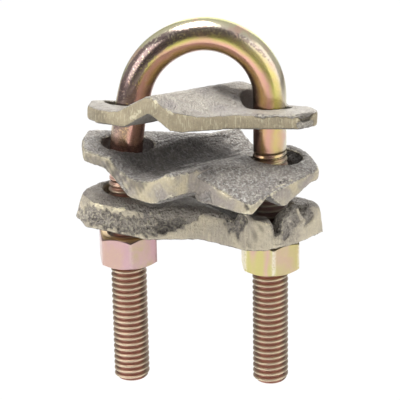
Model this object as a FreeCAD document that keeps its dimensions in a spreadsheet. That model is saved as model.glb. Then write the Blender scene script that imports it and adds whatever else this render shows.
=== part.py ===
import FreeCAD, Part
import math
import os

import Sketcher
from FreeCAD import Vector

# Cross connector: a bow with two threaded legs holds three cast clamp plates,
# which two hexagon nuts drive up the legs. One conductor lies in the channel
# between the upper and the middle plate, the other crosses it between the
# middle and the lower plate.
#
# Frame: origin midway between the two leg ends, +X from the left leg to the
# right leg, +Y away from the front, +Z up the legs. Millimetres and degrees.
# Each plate is drawn in its own frame: origin in the middle of its top
# surface, X along its two bores, Y to the rear.

SIZES = [
    # Bow
    ("leg_spacing", 37.1, "distance between the leg axes"),
    ("rod", 8.45, "diameter of the plain rod"),
    ("left_straight", 55.97, "straight length of the left leg"),
    ("lean_radius", 93.4, "slow bend that leans the left leg inwards"),
    ("lean_turn", 15.08, "angle of the slow bend"),
    ("shoulder_radius", 19.48, "left shoulder of the bow"),
    ("shoulder_turn", 59.0, "angle of the left shoulder"),
    ("thread", 9.35, "outer diameter of the rolled thread"),
    ("thread_left", 57.0, "threaded length of the left leg"),
    ("thread_right", 64.0, "threaded length of the right leg"),
    ("thread_lead", 0.85, "chamfer at a leg's end"),
    ("thread_fade", 0.8, "run-out at the upper end of a thread"),
    # Nuts
    ("nut_across", 14.29, "across the flats of a nut"),
    ("nut_tall", 8.33, "height of a nut"),
    ("nut_face", 13.5, "diameter of a nut's chamfered end face"),
    ("nut_slope", 30.0, "slope of a nut's corner chamfer"),
    ("nut_play", 0.06, "radial play of a nut on its thread"),
    ("nut_sink", 0.7, "countersink at the ends of a nut's bore"),
    ("left_nut_turn", 12.0, "corner of the left nut from the front"),
    ("right_nut_turn", 9.0, "corner of the right nut from the front"),
    ("left_nut_place", 33.1, "underside of the left nut above the leg ends"),
    ("right_nut_place", 31.9, "underside of the right nut above the leg ends"),
    # Shared by the plates
    ("middle_roll", 4.6, "how far the middle plate leans to the right"),
    ("lower_roll", 5.6, "how far the lower plate leans to the right"),
    ("lower_tip", 1.8, "how far the lower plate is tipped backwards"),
    ("corner_round", 2.2, "radius of the plates' outer corners"),
    ("inner_round", 1.2, "radius of the plates' inner corners"),
    ("worn_round", 1.0, "radius of the upper plate's worn corner"),
    ("channel_turn", 46.5, "direction of the upper conductor"),
    ("cross_turn", -46.0, "direction of the lower conductor"),
    ("cutter", 90.0, "length of the tools that cut right through"),
    # Lower plate
    ("lower_bore", 12.8, "bores of the lower plate"),
    ("lower_end", 13.3, "from a bore's axis to the end of the lower plate"),
    ("lower_nose", 2.5, "forward place of the lower plate's left end"),
    ("lower_right_more", 1.35, "how much further the lower plate reaches to the right"),
    ("lower_right_nose", 6.0, "rearward place of the lower plate's right end"),
    ("lower_half", 9.6, "half width of the lower plate's lugs"),
    ("lower_half_in", 3.8, "inward place where the full width starts"),
    ("lower_swell", 14.3, "reach of the lower plate's left front"),
    ("lower_swell_side", 11.5, "sideways place of that reach"),
    ("lower_waist", 9.9, "reach of the inner corner beside the lobe"),
    ("lower_waist_side", 1.5, "sideways place of that inner corner"),
    ("lower_lobe", 14.6, "reach of the lower plate's lobe to the front"),
    ("lower_lobe_slant", 1.0, "how much less the lobe reaches at its outer corner"),
    ("lower_lobe_side", 13.2, "sideways place of the lobe's first corner"),
    ("lower_lobe_wide", 5.2, "from that corner to the lobe's second one"),
    ("lower_lobe_out", 5.6, "reach of the lobe's outer corner"),
    ("lower_lobe_end", 7.8, "from a bore's axis out to the lobe's outer corner"),
    ("lower_thick", 8.5, "thickness of the lower plate"),
    ("lower_round", 0.9, "radius of the lower plate's corners"),
    ("lower_rim", 1.5, "height of the worn rim round the top of the lower plate"),
    ("lower_rim_in", 1.4, "how far that rim slopes in"),
    ("lower_side_in", 0.5, "how far the lower plate's front and rear slope in below the rim"),
    ("lower_end_in", 1.6, "how far its two ends slope in below the rim"),
    ("lower_channel_wide", 15.2, "width of the channel in the lower plate"),
    ("lower_channel_deep", 3.6, "depth of the channel in the lower plate"),
    ("lower_channel_off", 5.6, "sideways place of that channel"),
    ("lower_seat", 0.08, "play over the right nut where the lower plate rests on it"),
    ("lower_drift", 0.4, "sideways place of the lower plate on the legs"),
    # Middle plate
    ("middle_bore", 13.1, "bores of the middle plate"),
    ("middle_spread", 1.0, "bore spacing beyond the leg spacing"),
    ("middle_end", 11.95, "from a bore's axis to the end of the middle plate"),
    ("middle_nose", 0.5, "rearward place of the middle plate's left end"),
    ("middle_cheek", 8.6, "forward place of the bevel at that end"),
    ("middle_cheek_in", 1.7, "inward place of that bevel"),
    ("middle_half", 11.3, "half width of the middle plate's lugs"),
    ("middle_half_in", 6.1, "inward place where the full width starts"),
    ("worn_nose", 2.0, "forward place of the right lug's end where it is worn round"),
    ("worn_nose_in", 1.6, "inward place of that end"),
    ("worn_cheek", 5.6, "rearward place of the right lug's worn bevel"),
    ("worn_cheek_in", 3.9, "inward place of that bevel"),
    ("worn_half", 9.6, "half width of the right lug at the rear"),
    ("worn_half_in", 8.0, "inward place where that width starts"),
    ("middle_lug", 3.6, "thickness of the middle plate's lugs"),
    ("middle_lobe", 22.6, "reach of the trough's end to the front"),
    ("middle_lobe_side", 5.7, "sideways place of the trough's corner"),
    ("middle_waist", 16.8, "reach of the inner corner between the lobes"),
    ("middle_waist_side", 0.3, "sideways place of that inner corner"),
    ("cross_lobe", 24.0, "reach of the ridge's end to the front"),
    ("cross_lobe_side", 13.9, "sideways place of the ridge's corner"),
    ("cross_lobe_out", 7.3, "reach of the ridge's outer corner"),
    ("trough_deep", 9.3, "depth of the trough below the rim"),
    ("trough_flat", 7.1, "flat width under the trough"),
    ("trough_off", 2.5, "sideways place of the trough's underside"),
    ("trough_right", 11.6, "reach of the trough's right side"),
    ("trough_side", 5.9, "depth of the trough's right side"),
    ("trough_left", 8.8, "reach of the trough's left side"),
    ("trough_round", 2.5, "radius under the trough"),
    ("valley_wide", 16.4, "width of the upper conductor's channel"),
    ("valley_deep", 3.7, "depth of the upper conductor's channel"),
    ("valley_off", 0.8, "sideways place of that channel"),
    ("ridge_deep", 8.4, "depth of the ridge under the plate"),
    ("ridge_flat", 12.0, "flat width under the ridge"),
    ("ridge_wide", 28.5, "width of the ridge where it meets the lugs"),
    ("groove_wide", 10.0, "width of the lower conductor's groove"),
    ("groove_deep", 4.0, "depth of the lower conductor's groove"),
    ("cheek_side", 9.0, "sideways place of the ridge's filled cheek"),
    ("cheek_depth", 8.0, "forward place where that cheek starts"),
    ("brow_slope", 21.0, "slope of the ridge's top towards its end"),
    ("brow_turn", 9.9, "direction of the edge where the slope starts"),
    ("brow_reach", 12.3, "forward place of that edge"),
    ("plate_gap", 3.69, "gap between the lower and the middle plate"),
    ("middle_drift", 1.2, "sideways place of the middle plate on the legs"),
    # Upper plate
    ("upper_bore", 13.0, "bores of the upper plate"),
    ("upper_left", 18.2, "left bore from the middle of the upper plate"),
    ("upper_right", 16.4, "right bore from the middle of the upper plate"),
    ("upper_left_end", 10.2, "from the left bore's axis to the left end"),
    ("upper_right_end", 13.1, "from the right bore's axis to the right end"),
    ("upper_nose", 7.0, "forward place of the upper plate's ends"),
    ("upper_front", 12.2, "reach of the upper plate's lugs to the front"),
    ("upper_front_in", 3.0, "inward place of the lugs' front corners"),
    ("upper_rear", 8.0, "reach of the upper plate's lugs to the rear"),
    ("upper_rear_in", 4.0, "inward place of the left lug's rear corner"),
    ("upper_worn_nose", 4.5, "forward place of the right lug's end where it is worn round"),
    ("upper_worn_in", 2.2, "inward place of the right lug's worn bevel"),
    ("upper_worn_rear_in", 6.5, "inward place of the right lug's rear corner"),
    ("upper_tail", 1.3, "rearward place of the upper plate's ends"),
    ("upper_lug", 3.9, "thickness of the upper plate's lugs"),
    ("hood_end", 22.5, "reach of the hood's end to the front"),
    ("hood_end_side", 6.1, "sideways place of the hood's front corner"),
    ("hood_waist", 14.8, "reach of the inner corner beside the hood"),
    ("hood_waist_side", 8.9, "sideways place of that inner corner"),
    ("hood_turn", 52.0, "direction of the channel under the hood"),
    ("hood_tall", 5.1, "height of the hood's crest line over the lugs"),
    ("hood_wide", 18.6, "width of the hood where it meets the lugs"),
    ("hood_round", 3.0, "radius along the hood's crest"),
    ("hood_off", 2.8, "sideways place of the hood"),
    ("hood_wall", 4.8, "wall of the hood over its channel"),
    ("hood_channel", 14.0, "width of the channel under the hood"),
    ("rear_slope", 9.0, "slope of the lugs' tops towards the rear"),
    ("rear_start", 1.0, "forward place where that slope starts"),
    ("upper_pitch", 7.4, "how far the upper plate is tipped backwards"),
    ("upper_roll", 1.2, "how far the upper plate leans to the right"),
    ("upper_gap", 11.62, "height of the upper plate's lugs over the middle plate"),
    ("upper_drift", 1.2, "sideways place of the upper plate on the legs"),
    ("upper_back", 1.85, "place of the upper plate behind the legs"),
]


class Size:
    """A size with its value now and the expression that ties it to the sheet."""

    def __init__(self, value, text):
        self.value = value
        self.text = text

    def __add__(self, other):
        other = as_size(other)
        return Size(self.value + other.value, "(%s + %s)" % (self.text, other.text))

    def __sub__(self, other):
        other = as_size(other)
        return Size(self.value - other.value, "(%s - %s)" % (self.text, other.text))

    def __mul__(self, other):
        other = as_size(other)
        return Size(self.value * other.value, "(%s * %s)" % (self.text, other.text))

    def __truediv__(self, other):
        other = as_size(other)
        return Size(self.value / other.value, "(%s / %s)" % (self.text, other.text))

    def __neg__(self):
        return Size(-self.value, "(-1 * %s)" % self.text)

    def tangent(self):
        """Give the tangent of an angle in degrees."""
        return Size(math.tan(math.radians(self.value)), "tan(%s)" % self.text)

    def sine(self):
        """Give the sine of an angle in degrees."""
        return Size(math.sin(math.radians(self.value)), "sin(%s)" % self.text)

    def cosine(self):
        """Give the cosine of an angle in degrees."""
        return Size(math.cos(math.radians(self.value)), "cos(%s)" % self.text)

    def root(self):
        """Give the square root."""
        return Size(math.sqrt(self.value), "sqrt(%s)" % self.text)


def as_size(value):
    """Let a plain number stand in a sum of sizes."""
    if isinstance(value, Size):
        return value
    return Size(float(value), repr(float(value)))


doc = FreeCAD.newDocument("CrossConnector")
sheet = doc.addObject("Spreadsheet::Sheet", "Sizes")
size = {}
for row, (alias, number, meaning) in enumerate(SIZES, start=1):
    sheet.set("A%d" % row, alias)
    sheet.set("B%d" % row, str(number))
    sheet.setAlias("B%d" % row, alias)
    sheet.set("C%d" % row, meaning)
    size[alias] = Size(number, "Sizes." + alias)
doc.recompute()


# Helpers

def bind(item, **properties):
    """Tie properties of an object to the sheet."""
    for name, length in properties.items():
        item.setExpression(name, as_size(length).text)


def place(item, x=0, y=0, z=0, yaw=0, pitch=0, roll=0):
    """Tie an object's place and its three turns to the sheet."""
    numbers = tuple(as_size(value).text for value in (x, y, z, yaw, pitch, roll))
    item.setExpression("Placement", "placement(vector(%s; %s; %s); rotation(%s; %s; %s))" % numbers)


def tie(sketch, kind, *where, length):
    """Add one dimension to a sketch and tie it to the sheet."""
    index = sketch.addConstraint(Sketcher.Constraint(kind, *where, length.value))
    sketch.setExpression("Constraints[%d]" % index, length.text)


def tie_point(sketch, geometry, end, x, y):
    """Tie a point of a sketch to its two coordinates."""
    tie(sketch, "DistanceX", geometry, end, length=as_size(x))
    tie(sketch, "DistanceY", geometry, end, length=as_size(y))


def draw_outline(sketch, corners):
    """Draw a closed outline, anticlockwise, from corners of x, y and fillet radius."""
    points = [Vector(as_size(x).value, as_size(y).value, 0) for x, y, fillet in corners]
    count = len(points)
    starts = []
    ends = []
    arcs = []
    for index, (x, y, fillet) in enumerate(corners):
        corner = points[index]
        if fillet is None:
            starts.append(corner)
            ends.append(corner)
            arcs.append(None)
            continue
        back = (points[index - 1] - corner).normalize()
        ahead = (points[(index + 1) % count] - corner).normalize()
        half = back.getAngle(ahead) / 2
        reach = fillet.value / math.tan(half)
        centre = corner + (back + ahead).normalize() * (fillet.value / math.sin(half))
        ends.append(corner + back * reach)
        starts.append(corner + ahead * reach)
        convex = back.cross(ahead).z < 0
        first, last = (ends[-1], starts[-1]) if convex else (starts[-1], ends[-1])
        angles = [math.atan2((p - centre).y, (p - centre).x) for p in (first, last)]
        circle = Part.Circle(centre, Vector(0, 0, 1), fillet.value)
        arcs.append((Part.ArcOfCircle(circle, angles[0], angles[1]), convex))
    sides = []
    for index in range(count):
        side = Part.LineSegment(starts[index], ends[(index + 1) % count])
        sides.append(sketch.addGeometry(side, False))
    for index, (x, y, fillet) in enumerate(corners):
        before = sides[index - 1]
        after = sides[index]
        if fillet is None:
            sketch.addConstraint(Sketcher.Constraint("Coincident", before, 2, after, 1))
            tie_point(sketch, after, 1, x, y)
            continue
        arc, convex = arcs[index]
        bend = sketch.addGeometry(arc, False)
        corner = sketch.addGeometry(Part.Point(points[index]), True)
        into, out = (1, 2) if convex else (2, 1)
        sketch.addConstraint(Sketcher.Constraint("Tangent", before, 2, bend, into))
        sketch.addConstraint(Sketcher.Constraint("Tangent", bend, out, after, 1))
        sketch.addConstraint(Sketcher.Constraint("PointOnObject", corner, 1, before))
        sketch.addConstraint(Sketcher.Constraint("PointOnObject", corner, 1, after))
        tie_point(sketch, corner, 1, x, y)
        tie(sketch, "Radius", bend, length=fillet)


def slab(name, corners, top, bottom):
    """Raise a plan outline between two heights."""
    sketch = doc.addObject("Sketcher::SketchObject", name + "Plan")
    draw_outline(sketch, corners)
    place(sketch, z=bottom)
    block = doc.addObject("Part::Extrusion", name)
    block.Base = sketch
    block.DirMode = "Normal"
    block.Solid = True
    bind(block, LengthFwd=as_size(top) - bottom)
    return block


def bar(name, turn, corners=None, circle=None):
    """Run a section both ways along a level direction.

    The section lies across that direction: its X is sideways, to the right
    of someone who looks along the direction from the front, and its Y is up.
    """
    sketch = doc.addObject("Sketcher::SketchObject", name + "Section")
    if circle:
        x, y, radius = circle
        ring = Part.Circle(Vector(as_size(x).value, y.value, 0), Vector(0, 0, 1), radius.value)
        ring = sketch.addGeometry(ring, False)
        tie_point(sketch, ring, 3, x, y)
        tie(sketch, "Radius", ring, length=radius)
    else:
        draw_outline(sketch, corners)
    place(sketch, yaw=turn - 90, roll=90)
    prism = doc.addObject("Part::Extrusion", name)
    prism.Base = sketch
    prism.DirMode = "Normal"
    prism.Solid = True
    prism.Symmetric = True
    bind(prism, LengthFwd=size["cutter"])
    return prism


def bore(name, x, y, diameter):
    """Make an upright tool for a bore."""
    tool = doc.addObject("Part::Cylinder", name)
    bind(tool, Radius=diameter / 2, Height=size["cutter"])
    place(tool, x=x, y=y, z=-size["cutter"] / 2)
    return tool


def combine(kind, name, shapes):
    """Fuse several shapes, or keep what they have in common."""
    result = doc.addObject("Part::Multi" + kind, name)
    result.Shapes = shapes
    return result


def cut(name, base, tool):
    """Take one shape away from another."""
    result = doc.addObject("Part::Cut", name)
    result.Base = base
    result.Tool = tool
    return result


def turned(corners):
    """Give the same corners turned by half a turn about the origin."""
    return [(-as_size(x), -as_size(y), fillet) for x, y, fillet in corners]


def half_turn_pair(name, corners, top, bottom):
    """Raise an outline and the same one turned by half a turn."""
    return [
        slab(name + "Front", corners, top, bottom),
        slab(name + "Rear", turned(corners), top, bottom),
    ]


def channel_radius(width, depth):
    """Give the radius of a round channel from its width and depth."""
    return (width * width / 4 + depth * depth) / (depth * 2)


# Bow with its two threaded legs

def build_bow():
    """Join two straight legs, three tangent bends and a thread on each leg."""
    radius = size["rod"] / 2
    half = size["leg_spacing"] / 2
    lean = size["lean_turn"]
    swing = size["lean_turn"] + size["shoulder_turn"]

    # The three bends, each from the centre of the one before
    first_x = size["lean_radius"] - half
    first_z = size["left_straight"]
    step = size["lean_radius"] - size["shoulder_radius"]
    second_x = first_x - step * lean.cosine()
    second_z = first_z + step * lean.sine()
    touch = second_x - size["shoulder_radius"] * swing.cosine()
    bow_radius = (half - touch) / (swing.cosine() + 1)
    step = size["shoulder_radius"] - bow_radius
    third_x = second_x - step * swing.cosine()
    third_z = second_z + step * swing.sine()

    parts = [
        leg("Left", -half, first_z, radius),
        bend("Lean", first_x, first_z, size["lean_radius"], as_size(180) - lean, lean, radius),
        bend("Shoulder", second_x, second_z, size["shoulder_radius"], as_size(180) - swing,
             size["shoulder_turn"], radius),
        bend("Crown", third_x, third_z, bow_radius, as_size(0), as_size(180) - swing, radius),
        leg("Right", half, third_z, radius),
        thread("Left", -half, size["thread_left"]),
        thread("Right", half, size["thread_right"]),
    ]
    blank = combine("Fuse", "BowBlank", parts)
    return cut("u_bolt", blank, combine("Fuse", "LegTools", [
        end_tool("Left", -half),
        end_tool("Right", half),
    ]))


def leg(side, x, length, radius):
    """Make a straight leg that stands on the ground plane."""
    rod = doc.addObject("Part::Cylinder", side + "Leg")
    bind(rod, Radius=radius, Height=length)
    place(rod, x=x)
    return rod


def bend(name, x, z, radius, start, swing, thickness):
    """Make a bend of the rod round a centre, from a start angle over +X."""
    ring = doc.addObject("Part::Torus", name)
    bind(ring, Radius1=radius, Radius2=thickness, Angle3=swing)
    place(ring, x=x, z=z, pitch=-start, roll=90)
    return ring


def thread(side, x, top):
    """Thicken a leg where its thread is rolled, with a short run-out above."""
    sleeve = doc.addObject("Part::Cylinder", side + "Thread")
    bind(sleeve, Radius=size["thread"] / 2, Height=top)
    place(sleeve, x=x)
    fade = doc.addObject("Part::Cone", side + "ThreadFade")
    inside = size["rod"] / 2 - size["thread_fade"]
    bind(fade, Radius1=size["thread"] / 2, Radius2=inside, Height=size["thread_fade"])
    place(fade, x=x, z=top)
    return combine("Fuse", side + "ThreadSleeve", [sleeve, fade])


def end_tool(side, x):
    """Make the tool that chamfers a leg's end."""
    lead = size["thread_lead"]
    radius = size["thread"] / 2
    ring = doc.addObject("Part::Cylinder", side + "EndRing")
    bind(ring, Radius=radius + lead, Height=lead)
    place(ring, x=x)
    core = doc.addObject("Part::Cone", side + "EndCore")
    bind(core, Radius1=radius - lead, Radius2=radius, Height=lead)
    place(core, x=x)
    return cut(side + "EndTool", ring, core)


# Hexagon nuts

def build_nut(side, x, z, turn):
    """Chamfer a hexagon at both ends with two cones and bore it."""
    slope = size["nut_slope"].tangent()
    half_tall = size["nut_tall"] / 2
    face = size["nut_face"] / 2
    spread = face + half_tall / slope

    prism = doc.addObject("Part::Prism", side + "NutPrism")
    prism.Polygon = 6
    bind(prism, Circumradius=size["nut_across"] / math.sqrt(3), Height=size["nut_tall"])
    lower = doc.addObject("Part::Cone", side + "NutLowerCone")
    bind(lower, Radius1=face, Radius2=spread, Height=half_tall)
    upper = doc.addObject("Part::Cone", side + "NutUpperCone")
    bind(upper, Radius1=spread, Radius2=face, Height=half_tall)
    place(upper, z=half_tall)
    lens = combine("Fuse", side + "NutLens", [lower, upper])
    blank = combine("Common", side + "NutBlank", [prism, lens])

    radius = size["thread"] / 2 + size["nut_play"]
    sink = size["nut_sink"]
    hole = doc.addObject("Part::Cylinder", side + "NutBore")
    bind(hole, Radius=radius, Height=size["nut_tall"])
    entry = doc.addObject("Part::Cone", side + "NutEntry")
    bind(entry, Radius1=radius + sink, Radius2=radius, Height=sink)
    leave = doc.addObject("Part::Cone", side + "NutLeave")
    bind(leave, Radius1=radius, Radius2=radius + sink, Height=sink)
    place(leave, z=size["nut_tall"] - sink)
    tool = combine("Fuse", side + "NutTool", [hole, entry, leave])

    nut = cut(side.lower() + "_nut", blank, tool)
    place(nut, x=x, z=z, yaw=turn - 90)
    return nut


# Lower plate

def build_lower():
    """A block with worn, sloping sides and the lower conductor's channel across its top."""
    side = size["lower_side_in"]
    end = size["lower_end_in"]
    rim = size["lower_rim_in"]
    block = doc.addObject("Part::Loft", "LowerBlock")
    block.Sections = [
        lower_level_plan("LowerFoot", -size["lower_thick"], as_size(0), as_size(0)),
        lower_level_plan("LowerRim", -size["lower_rim"], side, end),
        lower_level_plan("LowerTop", as_size(0), side + rim, end + rim),
    ]
    block.Solid = True
    block.Ruled = True
    radius = channel_radius(size["lower_channel_wide"], size["lower_channel_deep"])
    channel = bar("LowerChannel", size["cross_turn"] + 180, circle=(
        size["lower_channel_off"], radius - size["lower_channel_deep"], radius))
    bores = plate_bores("Lower", size["leg_spacing"] / 2, size["leg_spacing"] / 2, size["lower_bore"])
    plate = cut("lower_plate", block, combine("Fuse", "LowerTools", [channel] + bores))
    place(plate, x=size["lower_drift"], z=lower_level(),
          pitch=size["lower_roll"], roll=-size["lower_tip"])
    return plate


def lower_level_plan(name, height, side_in, end_in):
    """Draw the lower plate's outline at one height, drawn in from its foot."""
    reach = size["leg_spacing"] / 2 + size["lower_end"]
    front = lower_half_plan(reach, size["lower_nose"], side_in, end_in)
    rear = lower_half_plan(reach + size["lower_right_more"], size["lower_right_nose"], side_in, end_in)
    outline = front + turned(rear)
    sketch = doc.addObject("Sketcher::SketchObject", name)
    draw_outline(sketch, outline)
    place(sketch, z=height)
    return sketch


def lower_half_plan(reach, nose, side_in, end_in):
    """List the corners of the lower plate's front, from its left end to its right one."""
    corner = size["lower_round"]
    return [
        (-reach + end_in, -nose, corner),
        (-reach + end_in + size["lower_half_in"], side_in - size["lower_half"], corner),
        (-size["lower_swell_side"], side_in - size["lower_swell"], corner),
        (size["lower_waist_side"], side_in - size["lower_waist"], corner),
        (size["lower_lobe_side"], side_in - size["lower_lobe"], corner),
        (size["lower_lobe_side"] + size["lower_lobe_wide"],
         side_in + size["lower_lobe_slant"] - size["lower_lobe"], corner),
        (size["leg_spacing"] / 2 + size["lower_lobe_end"], side_in - size["lower_lobe_out"], corner),
    ]


def lower_level():
    """Give the height of the lower plate's middle, as it rests on the right nut."""
    across = size["lower_roll"].tangent()
    along = size["lower_tip"].tangent()
    steepest = (across * across + along * along).root()
    fall = (size["leg_spacing"] / 2 - size["lower_drift"]) * across + size["nut_face"] / 2 * steepest
    return size["right_nut_place"] + size["nut_tall"] + size["lower_seat"] + size["lower_thick"] + fall


def plate_bores(name, left, right, diameter, y=0):
    """Make the tools for a plate's two bores."""
    return [
        bore(name + "LeftBore", -left, y, diameter),
        bore(name + "RightBore", right, y, diameter),
    ]


# Middle plate

def build_middle():
    """A plate with a trough for one conductor and, under it, a ridge grooved for the other."""
    half = size["leg_spacing"] / 2 + size["middle_spread"] / 2
    end = half + size["middle_end"]
    front = middle_half_plan(end, [
        (-end, size["middle_nose"]),
        (-end + size["middle_cheek_in"], -size["middle_cheek"]),
        (-end + size["middle_half_in"], -size["middle_half"]),
    ])
    rear = middle_half_plan(end, [
        (-end + size["worn_nose_in"], size["worn_nose"]),
        (-end + size["worn_cheek_in"], -size["worn_cheek"]),
        (-end + size["worn_half_in"], -size["worn_half"]),
    ])
    plan = front + turned(rear)
    lugs = slab("MiddleLugs", plan, 0, -size["middle_lug"])
    whole = slab("MiddleWhole", plan, 0, -size["trough_deep"])

    flat = size["trough_flat"] / 2
    under = size["trough_off"]
    trough = bar("MiddleTrough", size["channel_turn"], corners=[
        (-size["trough_left"], -size["middle_lug"], None),
        (under - flat, -size["trough_deep"], size["trough_round"]),
        (under + flat, -size["trough_deep"], size["trough_round"]),
        (size["trough_right"], -size["trough_side"], None),
        (size["trough_right"], 0, None),
        (-size["trough_left"], 0, None),
    ])
    flat = size["ridge_flat"] / 2
    side = size["ridge_wide"] / 2
    ridge = bar("MiddleRidge", size["cross_turn"] + 180, corners=[
        (-side, -size["middle_lug"], None),
        (-flat, -size["ridge_deep"], None),
        (flat, -size["ridge_deep"], None),
        (side, -size["middle_lug"], None),
        (side, 0, None),
        (-side, 0, None),
    ])
    cheek = half_turn_pair("MiddleCheek", [
        (size["middle_waist_side"], -size["middle_waist"], None),
        (size["cross_lobe_side"], -size["cross_lobe"], None),
        (size["cheek_side"], -size["cheek_depth"], None),
        (-size["middle_waist_side"], -size["cheek_depth"], None),
    ], -size["middle_lug"], -size["ridge_deep"])
    ribs = combine("Fuse", "MiddleRibs", [trough, ridge] + cheek)
    blank = combine("Fuse", "MiddleBlank", [lugs, combine("Common", "MiddleTrimmed", [whole, ribs])])

    radius = channel_radius(size["valley_wide"], size["valley_deep"])
    valley = bar("MiddleValley", size["channel_turn"], circle=(
        size["valley_off"], radius - size["valley_deep"], radius))
    floor = size["ridge_deep"] + size["groove_deep"]
    groove = bar("MiddleGroove", size["cross_turn"] + 180, corners=[
        (0, size["groove_deep"] - size["ridge_deep"], None),
        (-size["groove_wide"], -floor, None),
        (size["groove_wide"], -floor, None),
    ])
    brow = cut("MiddleBrow", brow_tool(), trough)
    bores = plate_bores("Middle", half, half, size["middle_bore"])
    tools = combine("Fuse", "MiddleTools", [valley, groove, brow] + bores)
    plate = cut("middle_plate", blank, tools)
    level = lower_level() + size["plate_gap"] + size["trough_deep"]
    place(plate, x=size["middle_drift"], z=level, pitch=size["middle_roll"])
    return plate


def middle_half_plan(end, lug):
    """List the corners of one long side of the middle plate: a lug's, then the two lobes'."""
    outer = size["corner_round"]
    inner = size["inner_round"]
    return [(x, y, outer) for x, y in lug] + [
        (-size["middle_lobe_side"], -size["middle_lobe"], inner),
        (size["middle_waist_side"], -size["middle_waist"], inner),
        (size["cross_lobe_side"], -size["cross_lobe"], inner),
        (end - size["middle_nose"], -size["cross_lobe_out"], outer),
    ]


def brow_tool():
    """Make the tool that slopes the ridge's two ends down, front and rear."""
    reach = size["brow_reach"]
    run = size["cutter"] / 2
    drop = run * size["brow_slope"].tangent()
    front = bar("BrowFront", size["brow_turn"], corners=[
        (reach, 0, None),
        (reach + run, -drop, None),
        (reach + run, run, None),
        (reach, run, None),
    ])
    rear = bar("BrowRear", size["brow_turn"], corners=[
        (-reach, 0, None),
        (-reach, run, None),
        (-reach - run, run, None),
        (-reach - run, -drop, None),
    ])
    return combine("Fuse", "BrowTool", [front, rear])


# Upper plate

def build_upper():
    """A plate whose hood is arched over the upper conductor."""
    left = size["upper_left"] + size["upper_left_end"]
    right = size["upper_right"] + size["upper_right_end"]
    outer = size["corner_round"]
    inner = size["inner_round"]
    plan = [
        (-left, -size["upper_nose"], outer),
        (-left + size["upper_front_in"], -size["upper_front"], outer),
        (-size["hood_end_side"], -size["hood_end"], inner),
        (size["hood_waist_side"], -size["hood_waist"], inner),
        (right - size["upper_front_in"], -size["upper_front"], outer),
        (right, -size["upper_nose"], outer),
        (right, -size["upper_worn_nose"], size["worn_round"]),
        (right - size["upper_worn_in"], size["upper_tail"], outer),
        (right - size["upper_worn_rear_in"], size["upper_rear"], outer),
        (-left + size["upper_rear_in"], size["upper_rear"], outer),
        (-left, size["upper_tail"], outer),
    ]
    lugs = slab("UpperLugs", plan, 0, -size["upper_lug"])
    whole = slab("UpperWhole", plan, size["hood_tall"], -size["upper_lug"])
    off = size["hood_off"]
    side = size["hood_wide"] / 2
    hood = bar("UpperHood", size["hood_turn"], corners=[
        (off - side, -size["upper_lug"], None),
        (off + side, -size["upper_lug"], None),
        (off + side, 0, None),
        (off, size["hood_tall"], size["hood_round"]),
        (off - side, 0, None),
    ])
    slope = cut("UpperSlope", rear_tool(), hood)
    blank = combine("Fuse", "UpperBlank", [
        cut("UpperSloped", lugs, slope),
        combine("Common", "UpperTrimmed", [whole, hood]),
    ])
    half = size["hood_channel"] / 2
    channel = bar("UpperChannel", size["hood_turn"], corners=[
        (off - half, -size["upper_lug"] * 2, None),
        (off + half, -size["upper_lug"] * 2, None),
        (off + half, -size["upper_lug"], None),
        (off, size["hood_tall"] - size["hood_wall"], None),
        (off - half, -size["upper_lug"], None),
    ])
    bores = plate_bores("Upper", size["upper_left"], size["upper_right"], size["upper_bore"])
    plate = cut("upper_plate", blank, combine("Fuse", "UpperTools", [channel] + bores))
    level = lower_level() + size["plate_gap"] + size["trough_deep"] + size["upper_gap"]
    place(plate, x=size["upper_drift"], y=size["upper_back"], z=level,
          pitch=size["upper_roll"], roll=-size["upper_pitch"])
    return plate


def rear_tool():
    """Make the tool that slopes the upper plate's lugs down to the rear."""
    run = size["cutter"] / 2
    start = size["rear_start"]
    return bar("RearTool", as_size(0), corners=[
        (start, 0, None),
        (start, run, None),
        (start - run, run, None),
        (start - run, -run * size["rear_slope"].tangent(), None),
    ])


# The connector

half_spacing = size["leg_spacing"] / 2
nodes = [
    build_bow(),
    build_nut("Left", -half_spacing, size["left_nut_place"], size["left_nut_turn"]),
    build_nut("Right", half_spacing, size["right_nut_place"], size["right_nut_turn"]),
    build_lower(),
    build_middle(),
    build_upper(),
]
doc.recompute()

for item in doc.Objects:
    if "Invalid" in item.State or "Error" in item.State:
        raise RuntimeError("%s failed: %s" % (item.Name, item.State))
for node in nodes:
    if node.Shape.isNull() or not node.Shape.isValid():
        raise RuntimeError("%s has no valid shape" % node.Label)
    if len(node.Shape.Solids) != 1:
        raise RuntimeError("%s is in %d pieces" % (node.Label, len(node.Shape.Solids)))

os.makedirs("parts", exist_ok=True)
for node in nodes:
    node.Shape.exportStep("parts/%s.step" % node.Label)
    print(node.Label, "%.1f mm3" % node.Shape.Volume, node.Shape.BoundBox)
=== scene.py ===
"""Dress the cross connector: a bent bolt with two nuts and three cast clamp plates."""

import logging
import math
from collections.abc import Callable, Mapping, Sequence
from dataclasses import dataclass
from enum import Enum

import bpy
import numpy as np
from mathutils import Matrix, Vector


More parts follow.
